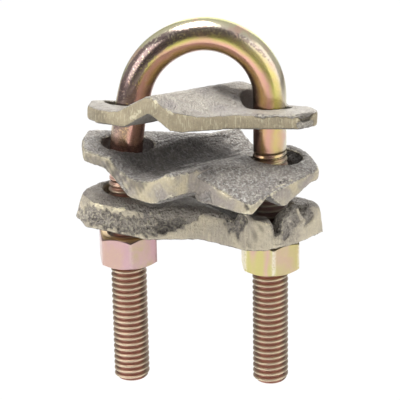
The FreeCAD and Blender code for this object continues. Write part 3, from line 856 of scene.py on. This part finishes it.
@dataclass(frozen=True)
class Mark:
    """A stretch of a plate's surface that differs, from one place to another, in millimetres.

    It is sunk along the normals or lifted straight up, and shows by its strength.
    """

    kind: MarkKind
    start: Place
    end: Place
    reach: float
    sunk: float = 0.0
    strength: float = 1.0
    lift: float = 0.0

    def share(self, points: np.ndarray) -> np.ndarray:
        """Give how far each point lies in the mark, 1 in its middle and 0 past its reach."""
        start, end = np.array(self.start), np.array(self.end)
        along = end - start
        share = np.clip((points - start) @ along / float(along @ along), 0.0, 1.0)
        distance = np.linalg.norm(points - start - np.multiply.outer(share, along), axis=1)
        if self.kind is not SHAPE:
            ragged = np.sin(points @ RAGGED_FINE) + np.sin(points @ RAGGED_BROAD + 1.0)
            distance *= 1 + ragged * RAGGED
        return step(distance, self.reach, self.reach * 0.5)


def trail(kind: MarkKind, reach: float, *places: Place, **more: float) -> list[Mark]:
    """Lay one mark along several places, a piece for each leg of the route."""
    return [Mark(kind, start, end, reach, **more) for start, end in zip(places, places[1:])]


class Ties:
    """The edges of a mesh, along which values at its points are averaged."""

    def __init__(self, mesh: bpy.types.Mesh) -> None:
        """Read the mesh's edges."""
        ends = np.empty(len(mesh.edges) * 2, dtype=np.int64)
        mesh.edges.foreach_get("vertices", ends)
        self.starts = ends[0::2]
        self.ends = ends[1::2]
        self.size = len(mesh.vertices)
        self.count = np.bincount(ends, minlength=self.size).astype(float)[:, None]

    def average(self, values: np.ndarray) -> np.ndarray:
        """Average the neighbours of each point, column by column."""
        return np.stack([
            np.bincount(self.starts, column[self.ends], self.size)
            + np.bincount(self.ends, column[self.starts], self.size)
            for column in values.T], axis=1) / self.count


@dataclass
class CastPlate:
    """One cast clamp plate, skinned from its solid, in millimetres."""

    node: str
    body: str
    finish: CastBronze
    bore_reach: float
    trails: tuple[list[Mark], ...]
    rounds: int
    grain: float
    swell: float = 0.34
    voxel: float = 0.34
    weld: float = 0.001

    def skin_tree(self) -> ShapeTree:
        """Make the tree that lays an uneven cast skin over a plate."""
        shape = ShapeTree(self.node + "_cast_skin", ("Swell", "Grain", "Seed"))
        graph = shape.graph
        seeded = graph.add("ShaderNodeVectorMath", {"operation": "ADD"}, {
            0: graph.add("GeometryNodeInputPosition"), 1: shape.given("Seed")})
        lump = graph.noise(seeded, SKIN_LUMPS) - 0.5
        pebble = graph.noise(seeded, SKIN_PEBBLES) - 0.5
        cast = 1 - shape.attribute("ground") * 0.8
        rough = shape.attribute("crust") * 1.6
        distance = lump * shape.given("Swell") + pebble * shape.given("Grain") * (cast + rough)
        shape.end(graph.add("GeometryNodeInputNormal"), distance)
        return shape

    def remesh(self) -> bpy.types.Object:
        """Copy the solid's mesh and give it even, small faces."""
        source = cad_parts[self.node].data.copy()
        piece = new_piece(self.node + "_dressed", source)
        weld = piece.modifiers.new("weld", "WELD")
        weld.merge_threshold = self.weld * MM
        even = piece.modifiers.new("even", "REMESH")
        even.mode = "VOXEL"
        even.voxel_size = self.voxel * MM
        bake_modifiers(piece)
        return piece

    def form_masks(self, points: np.ndarray, normals: np.ndarray,
                   bulge: np.ndarray) -> dict[MarkKind, np.ndarray]:
        """Find the ground walls, rubbed edges, and hollows darkened by painted shade with dark skin,
        from the plate's form.

        Args:
            points: The solid's points.
            normals: Their normals.
            bulge: How far each stands out of the smoothed form.

        Returns:
            A mask from 0 to 1 for each kind.
        """
        tilt = np.abs(normals[:, 2])
        side = BentBolt.leg * np.sign(points[:, 0])
        from_leg = np.hypot(points[:, 0] - side, points[:, 1])
        inward = (side - points[:, 0]) * normals[:, 0] - points[:, 1] * normals[:, 1]
        in_bore = step(inward / np.maximum(from_leg, 0.1), *FACES_LEG) * step(tilt, *BORE_TILT)
        in_bore *= step(from_leg, self.bore_reach + 1.0, self.bore_reach)
        # Painted shade inside the bores and on the undersides, and in concave valleys below.
        under = step(normals[:, 2], *UNDER_TILT)
        dark = np.maximum(in_bore, under * 0.55)
        return {
            GROUND: step(tilt, *WALL_TILT) * (1 - in_bore) * (1 - under),
            RUBBED: step(bulge, *EDGE_BULGE),
            HOLLOW: np.maximum(step(bulge, *VALLEY_BULGE) * 0.6, dark),
            CRUST: np.zeros(len(points)),
        }

    def lay_marks(self, points: np.ndarray, normals: np.ndarray,
                  masks: dict[MarkKind, np.ndarray]) -> np.ndarray:
        """Lay the marks on the masks and on the form.

        Args:
            points: The smoothed points.
            normals: The solid's normals.
            masks: The masks, which change.

        Returns:
            The points with what is sunk or raised.
        """
        sunk = np.zeros(len(points))
        lift = np.zeros(len(points))
        for mark in sum(self.trails, []):
            share = mark.share(points) * mark.strength
            raised = share * mark.lift
            sunk += share * mark.sunk
            lift = np.where(np.abs(raised) > np.abs(lift), raised, lift)
            if mark.kind in (SKIN, CRUST):
                masks[GROUND] *= 1 - share
            if mark.kind in masks:
                masks[mark.kind] = np.maximum(masks[mark.kind], share)
        moved = points - normals * sunk[:, None]
        moved[:, 2] += lift
        return moved

    def build(self) -> bpy.types.Object:
        """Build the plate's skin and dress it.

        Returns:
            The dressed piece.
        """
        piece = self.remesh()
        mesh = piece.data
        points = read_rows(mesh.vertices, "co") / MM
        normals = read_rows(mesh.vertex_normals, "vector")
        ties = Ties(mesh)
        smooth = points.copy()
        for _ in range(self.rounds):
            smooth += (ties.average(smooth) - smooth) * 0.5
        bulge = ((points - smooth) * normals).sum(axis=1)[:, None]
        bulge = ties.average(ties.average(bulge))[:, 0]
        masks = self.form_masks(points, normals, bulge)
        moved = self.lay_marks(smooth, normals, masks)
        mesh.vertices.foreach_set("co", (moved * MM).ravel())
        mesh.update()
        write(mesh, {kind.value: values for kind, values in masks.items()})

        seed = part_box(self.node)[0].z * 10
        self.skin_tree().run(piece, self.finish.build(), {
            "Swell": self.swell * MM, "Grain": self.grain * MM, "Seed": seed})
        piece.data.shade_smooth()
        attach(piece, self.body)
        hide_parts(self.node)
        return piece


# Studio

WHITE = (1.0, 1.0, 1.0, 1.0)
PALE = (0.9, 0.9, 0.9, 1.0)
SKY = ((0.0, 200, 199, 197), (0.45, 246, 246, 245), (0.6, 236, 236, 236), (1.0, 250, 250, 252))


@dataclass(frozen=True)
class Lamp:
    """A soft square light that faces the part: place and side in millimetres, power in watts."""

    name: str
    at: Place
    size: float
    power: float
    target: Place = (0.0, 0.0, 55.0)

    def hang(self) -> None:
        """Hang the light."""
        data = bpy.data.lights.new(self.name, "AREA")
        data.size = self.size * MM
        data.energy = self.power
        place = Vector(self.at) * MM
        aim = (Vector(self.target) * MM - place).to_track_quat("-Z", "Y")
        lamp = new_piece(self.name, data)
        lamp.matrix_world = Matrix.Translation(place) @ aim.to_matrix().to_4x4()


@dataclass(frozen=True)
class Studio:
    """The pale floor, the soft lights and the camera, in millimetres and degrees."""

    camera_at: Place = (39.0, -440.4, 215.5)
    ahead: Place = (-0.0816, 0.9331, -0.3502)
    roll: float = 1.0
    lens: float = 164.7
    sensor: float = 36.0
    nearest: float = 10.0
    unlit: Place = (-0.28, -0.80, 0.53)
    unlit_edge: tuple[float, float] = (0.72, 0.81)
    unlit_share: float = 0.74
    glow: float = 0.34
    gloss: float = 0.42
    floor_level: float = -60.0
    floor_half: float = 6000.0
    floor_white: float = 0.94
    lamps: tuple[Lamp, ...] = (
        Lamp("top", (-160.0, -60.0, 760.0), 400.0, 8.4),
        Lamp("left", (-620.0, -330.0, 300.0), 420.0, 2.0),
        Lamp("right", (620.0, -260.0, 260.0), 760.0, 2.2),
        Lamp("rear", (60.0, 640.0, 270.0), 560.0, 1.5))

    def camera(self) -> None:
        """Stand the camera at the photograph's angle."""
        data = bpy.data.cameras.new("camera")
        data.lens = self.lens
        data.sensor_width = self.sensor
        data.clip_start = self.nearest * MM
        ahead = Vector(self.ahead).normalized()
        right = ahead.cross(Vector((0.0, 0.0, 1.0))).normalized()
        level = Matrix((right, right.cross(ahead), -ahead)).transposed()
        turn = level @ Matrix.Rotation(math.radians(-self.roll), 3, "Z")
        camera = new_piece("camera", data)
        camera.matrix_world = Matrix.Translation(Vector(self.camera_at) * MM) @ turn.to_4x4()
        bpy.context.scene.camera = camera

    def world(self) -> None:
        """Make the surroundings: white to the camera, softly shaded for the light."""
        world = bpy.data.worlds.new("studio")
        bpy.context.scene.world = world
        graph = empty_graph(world)
        way = graph.add("ShaderNodeTexCoord", out="Generated")
        up = graph.add("ShaderNodeSeparateXYZ", None, {0: way}, "Z")
        sky = graph.add("ShaderNodeValToRGB", {"stops": SKY}, {0: up * 0.5 + 0.5})
        toward = graph.add("ShaderNodeVectorMath", {"operation": "DOT_PRODUCT"}, {
            0: way, 1: self.unlit}, "Value")
        lit = 1 - toward.rise(*self.unlit_edge) * self.unlit_share
        path = graph.node("ShaderNodeLightPath")
        camera, through, glossy = (
            Port(graph, path.outputs[f"Is {ray} Ray"]) for ray in ("Camera", "Transmission", "Glossy"))
        white = graph.add("ShaderNodeBackground", None, {"Color": WHITE, "Strength": 1.0})
        soft = graph.add("ShaderNodeBackground", None, {
            "Color": sky, "Strength": (glossy * self.gloss + self.glow) * lit})
        both = graph.add("ShaderNodeMixShader", None, {0: camera.most(through), 1: soft, 2: white})
        graph.node("ShaderNodeOutputWorld", None, {"Surface": both})

    def floor(self) -> None:
        """Lay the pale floor well below the hanging part."""
        half = self.floor_half * MM
        level = self.floor_level * MM
        mesh = bpy.data.meshes.new("floor")
        mesh.from_pydata([
            (-half, -half, level), (half, -half, level), (half, half, level), (-half, half, level)],
            [], [(0, 1, 2, 3)])
        floor = new_piece("floor", mesh)
        material = bpy.data.materials.new("pale_floor")
        graph = empty_graph(material)
        camera = graph.add("ShaderNodeLightPath", out="Is Camera Ray")
        matte = graph.add("ShaderNodeBsdfDiffuse", None, {"Color": PALE})
        white = graph.add("ShaderNodeEmission", None, {"Color": WHITE, "Strength": 1.0})
        both = graph.add("ShaderNodeMixShader", None, {
            0: camera * self.floor_white, 1: matte, 2: white})
        graph.node("ShaderNodeOutputMaterial", None, {"Surface": both})
        mesh.materials.append(material)

    def build(self) -> None:
        """Set up everything round the part."""
        bpy.context.scene.view_settings.view_transform = "Standard"
        self.camera()
        self.world()
        self.floor()
        for lamp in self.lamps:
            lamp.hang()


# The whole part

BOLT_PLATING = Plating(
    name="bolt_plating",
    # Round the rod these stops also paint light: a painted highlight from 0.575 to 0.64, and painted
    # dark reflections on the inner side at 0.0 and from 0.915 up.
    film_and_reflections=(
        (0.0, 110, 88, 76), (0.12, 196, 168, 96), (0.24, 210, 158, 140),
        (0.38, 176, 172, 112), (0.52, 170, 170, 106), (0.575, 200, 194, 162),
        (0.64, 200, 188, 172), (0.70, 198, 182, 122), (0.75, 200, 190, 106),
        (0.80, 214, 162, 148), (0.855, 196, 160, 102), (0.915, 122, 96, 78),
        (1.0, 84, 68, 62)),
    blush=rgb(206, 156, 142), worn=rgb(196, 182, 154), root_dark=rgb(160, 104, 90),
    roughness=0.2, drift=0.08)
LEFT_PLATING = Plating(
    name="left_nut_plating",
    film_and_reflections=((0.0, 186, 156, 150), (0.35, 188, 158, 146), (0.6, 184, 152, 158),
          (0.8, 180, 162, 132), (1.0, 188, 152, 160)),
    blush=rgb(190, 156, 162), worn=rgb(196, 176, 140), root_dark=rgb(110, 70, 50),
    roughness=0.34, drift=1.2, corner_wear=0.1)
RIGHT_PLATING = Plating(
    name="right_nut_plating",
    film_and_reflections=((0.0, 180, 168, 118), (0.3, 184, 176, 116), (0.45, 190, 158, 146),
          (0.6, 182, 176, 118), (0.8, 188, 166, 140), (1.0, 182, 174, 112)),
    blush=rgb(188, 160, 140), worn=rgb(196, 180, 130), root_dark=rgb(110, 70, 50),
    roughness=0.32, drift=1.2, corner_wear=0.6)
UPPER_BRONZE = CastBronze(
    name="upper_bronze", skin=rgb(172, 166, 156), skin_dark=rgb(136, 130, 122),
    painted_grain_highlight=rgb(186, 182, 172), ground=rgb(172, 160, 134), ground_dark=rgb(152, 141, 118),
    rubbed=rgb(214, 206, 178), hollow=rgb(56, 50, 48), tarnish=rgb(134, 128, 130),
    pebbled=0.4, scored=0.45, seed=0.0)
MIDDLE_BRONZE = CastBronze(
    name="middle_bronze", skin=rgb(178, 171, 163), skin_dark=rgb(122, 116, 110),
    painted_grain_highlight=rgb(232, 230, 225), ground=rgb(194, 183, 156), ground_dark=rgb(160, 152, 144),
    rubbed=rgb(218, 210, 186), hollow=rgb(50, 47, 47), tarnish=rgb(128, 123, 122),
    pebbled=0.9, scored=0.12, seed=0.4)
LOWER_BRONZE = CastBronze(
    name="lower_bronze", skin=rgb(166, 159, 148), skin_dark=rgb(124, 117, 110),
    painted_grain_highlight=rgb(184, 177, 164), ground=rgb(196, 186, 164), ground_dark=rgb(172, 163, 148),
    rubbed=rgb(220, 210, 180), hollow=rgb(52, 47, 45), tarnish=rgb(122, 115, 114),
    pebbled=0.7, scored=0.3, seed=0.8)

UPPER_MARKS = (
    # The broken right end, its sunk hollow darkened with painted shade
    trail(HOLLOW, 1.7, (27.2, -10.2, 76.0), (28.9, -8.0, 75.4), sunk=1.1, strength=0.8),
    trail(CRUST, 1.5, (26.6, -10.6, 74.4), (29.2, -7.4, 73.8), sunk=0.3, strength=0.8),
    trail(CRUST, 1.1, (15.8, -12.2, 77.4), (21.6, -11.4, 77.2), (27.0, -10.4, 76.8), sunk=0.2,
          strength=0.8),
    # The hood beside the right hole, darkened with painted shade
    trail(HOLLOW, 3.4, (6.7, 1.1, 80.0), (10.0, 0.9, 78.4), (12.6, 4.0, 76.4), strength=0.6),
    trail(SKIN, 4.0, (12.4, 8.0, 73.6), (13.4, 5.0, 74.6), (12.4, -2.0, 76.8)),
    trail(HOLLOW, 3.0, (12.8, 6.6, 75.0), (13.7, 6.8, 73.0), strength=0.7),
    trail(SHAPE, 3.2, (12.4, 5.6, 73.2), (14.2, 7.4, 72.8), lift=-1.5),
    # The left end, darkened with painted shade
    trail(HOLLOW, 0.8, (-22.7, 4.8, 74.8), (-24.0, 3.4, 75.2), sunk=0.2, strength=0.8),
    trail(HOLLOW, 5.0, (-27.0, -3.0, 75.0), (-24.0, -10.0, 75.0), strength=0.2),
    # The rubbed rim of the arch
    trail(RUBBED, 0.6, (-10.6, -16.2, 83.4), (-7.2, -18.8, 82.0), (-4.2, -20.1, 79.8)),
    trail(RUBBED, 0.7, (-12.2, -16.2, 79.4), (-14.8, -15.4, 77.2)),
)
MIDDLE_MARKS = (
    # The channel and the left lug, darkened with painted shade
    trail(HOLLOW, 7.0, (-17.0, -10.6, 63.4), (-9.1, -4.6, 62.0), (-2.2, 3.1, 61.6),
          (3.9, 8.7, 60.8), strength=0.74),
    trail(HOLLOW, 4.0, (-13.6, -16.6, 61.8), (-8.0, -12.0, 61.6), strength=0.58),
    trail(HOLLOW, 7.0, (-27.0, -2.0, 64.6), (-22.0, -8.0, 63.4), strength=0.46),
    # Skin left on the ground faces
    trail(SKIN, 2.4, (-7.5, -21.0, 60.6), (-7.5, -21.0, 59.0), strength=0.4),
    trail(SKIN, 2.2, (4.2, -17.8, 57.9), (-0.8, -19.0, 57.4), strength=0.55),
    trail(SKIN, 2.4, (-28.4, -8.0, 61.4), (-24.0, -11.5, 60.4), (-18.0, -14.6, 58.6), sunk=0.1,
          strength=0.6),
    # The right lug with light painted shade, its cracked rim, and the pit at its tip in painted shade
    trail(HOLLOW, 4.0, (9.0, -3.0, 63.8), (15.0, -6.4, 63.4), (24.0, -6.0, 62.4), strength=0.26),
    trail(CRUST, 1.0, (15.6, -20.6, 59.3), (19.6, -16.6, 60.2), (23.6, -12.4, 60.7), sunk=0.12,
          strength=0.75),
    trail(RUBBED, 0.5, (14.6, -22.6, 59.4), (19.0, -18.4, 59.8), (24.6, -12.6, 60.4)),
    trail(HOLLOW, 0.6, (13.8, -23.3, 57.4), (14.2, -23.4, 56.8), sunk=0.5, strength=0.8),
    # The swelled rear edges of the holes, darkened with painted shade, and the front rim
    trail(HOLLOW, 1.9, (-24.2, 2.4, 62.6), (-21.5, 5.0, 62.4), sunk=-1.1),
    trail(HOLLOW, 1.9, (26.2, 2.0, 59.4), (23.6, 5.2, 59.2), sunk=-1.1),
    trail(RUBBED, 0.7, (-9.1, -21.8, 63.6), (-4.8, -22.3, 64.0), (-2.0, -21.0, 64.2)),
)
LOWER_MARKS = (
    # The crust along the left of the front
    trail(CRUST, 2.8, (-27.4, -8.6, 49.4), (-21.5, -11.3, 48.6), (-17.6, -12.5, 48.0),
          (-13.6, -13.7, 48.0), (-8.6, -13.3, 47.8), (-3.7, -11.5, 48.2), sunk=0.35),
    # A sunk dent darkened with painted shade.
    trail(HOLLOW, 2.0, (-8.0, -13.1, 47.4), (-4.0, -11.6, 48.4), sunk=0.5, strength=0.6),
    trail(CRUST, 2.6, (-31.0, -3.4, 48.4), (-29.0, -6.8, 47.4), sunk=0.2, strength=0.6),
    trail(SKIN, 2.8, (-11.0, -13.9, 50.6), (-7.3, -12.6, 50.7), (-1.0, -10.0, 49.8)),
    trail(RUBBED, 0.7, (-27.0, -8.0, 52.2), (-24.1, -9.9, 51.8), (-21.0, -10.9, 51.5),
          (-17.5, -11.9, 51.8)),
    # The front lobe, with its raised rim
    trail(RUBBED, 0.7, (9.0, -12.4, 49.4), (11.6, -13.5, 49.0)),
    trail(CRUST, 2.2, (9.4, -12.6, 48.2), (11.8, -13.6, 46.8), sunk=0.35),
    trail(SHAPE, 4.4, (13.6, -12.8, 47.4), (16.4, -11.4, 45.8), lift=3.2),
    trail(RUBBED, 0.5, (12.8, -13.9, 48.6), (13.4, -14.5, 45.0), (13.6, -14.4, 42.6)),
    # The notch, darkened with painted shade, the flank that rises from it and the broken right end
    trail(HOLLOW, 5.4, (14.0, -9.6, 46.4), (8.0, -4.0, 46.8), (3.0, 2.0, 47.6), strength=0.75),
    trail(CRUST, 3.0, (20.6, -10.6, 45.4), (22.4, -9.4, 45.6), strength=0.36, lift=-3.2),
    trail(SHAPE, 3.4, (22.2, -7.0, 47.8), (24.4, -5.6, 48.8), lift=2.6),
    trail(CRUST, 3.4, (21.4, -9.0, 48.2), (24.0, -7.7, 46.3), (25.6, -6.4, 43.8), sunk=0.4,
          strength=0.36),
    trail(SKIN, 3.2, (24.4, -4.9, 49.4), (26.3, -1.2, 48.8), (28.8, -0.2, 46.4), sunk=0.7),
    # The rear top edge
    trail(SHAPE, 5.0, (-5.0, 8.6, 48.6), (1.0, 9.4, 48.0), lift=1.3),
)


def main() -> None:
    """Build the studio and every piece."""
    logging.basicConfig(level=logging.INFO, format="%(name)s: %(message)s")
    Studio().build()
    thread = RolledThread()
    makers = (
        BentBolt(BOLT_PLATING, thread),
        HexagonNut(NutSide.LEFT, LEFT_PLATING, thread),
        HexagonNut(NutSide.RIGHT, RIGHT_PLATING, thread),
        CastPlate("upper_plate", "upper", UPPER_BRONZE, 8.5, UPPER_MARKS, rounds=14, grain=0.22),
        CastPlate("middle_plate", "middle", MIDDLE_BRONZE, 9.0, MIDDLE_MARKS, rounds=30, grain=0.5),
        CastPlate("lower_plate", "lower", LOWER_BRONZE, 4.8, LOWER_MARKS, rounds=22, grain=0.36))
    for maker in makers:
        piece = maker.build()
        log.info("%s: %d faces", piece.name, len(piece.data.polygons))


if __name__ == "__main__":
    main()
